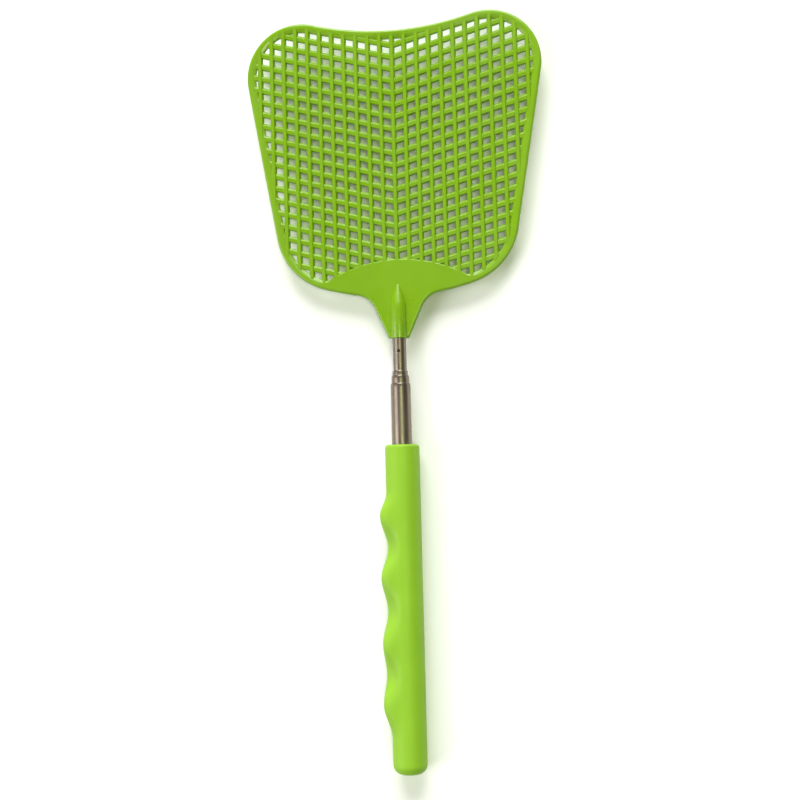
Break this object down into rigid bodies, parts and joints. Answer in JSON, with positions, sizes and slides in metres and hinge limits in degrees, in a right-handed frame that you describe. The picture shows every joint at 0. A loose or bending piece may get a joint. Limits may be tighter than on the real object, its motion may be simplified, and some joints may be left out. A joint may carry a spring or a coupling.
{
  "type": "fly swatter",
  "caption": "Telescopic fly swatter: moulded chevron-mesh head on nested steel tubes that slide and turn in a finger-grooved grip.",
  "frame": {"origin": "middle of the closed swatter's box, at the level of the surface that the grip lies on", "axes": "+Y along the tubes towards the head, +Z out of the head's front face, -X towards the finger humps"},
  "size_m": [0.112, 0.2811, 0.0127],
  "materials": {
    "grip_plastic": "satin moulded polypropylene, yellow-green",
    "head_plastic": "slightly glossy moulded polyethylene, lime green",
    "tube_steel": "drawn stainless steel, satin",
    "leaf_bronze": "thin phosphor bronze strip"
  },
  "bodies": {
    "handle": {"grip": "grip_plastic", "outer_tube": "tube_steel"},
    "second_leaves": {"second_leaf_back": "leaf_bronze", "second_leaf_front": "leaf_bronze"},
    "second_tube": {"second_tube": "tube_steel"},
    "third_leaves": {"third_leaf_back": "leaf_bronze", "third_leaf_front": "leaf_bronze"},
    "third_tube": {"third_tube": "tube_steel"},
    "inner_leaves": {"inner_leaf_back": "leaf_bronze", "inner_leaf_front": "leaf_bronze"},
    "head": {"inner_tube": "tube_steel", "swatter_head": "head_plastic"}
  },
  "joints": [
    {"name": "second_slide", "type": "slide", "parent": "handle", "child": "second_leaves", "axis": [0, 1, 0], "range_m": [0, 0.13]},
    {"name": "second_swivel", "type": "hinge", "parent": "second_leaves", "child": "second_tube", "pos_m": [0, 0, 0.00635], "axis": [0, 1, 0], "continuous": true},
    {"name": "third_slide", "type": "slide", "parent": "second_tube", "child": "third_leaves", "axis": [0, 1, 0], "range_m": [0, 0.126]},
    {"name": "third_swivel", "type": "hinge", "parent": "third_leaves", "child": "third_tube", "pos_m": [0, 0, 0.00635], "axis": [0, 1, 0], "continuous": true},
    {"name": "inner_slide", "type": "slide", "parent": "third_tube", "child": "inner_leaves", "axis": [0, 1, 0], "range_m": [0, 0.1205]},
    {"name": "inner_swivel", "type": "hinge", "parent": "inner_leaves", "child": "head", "pos_m": [0, 0, 0.00635], "axis": [0, 1, 0], "continuous": true}
  ]
}
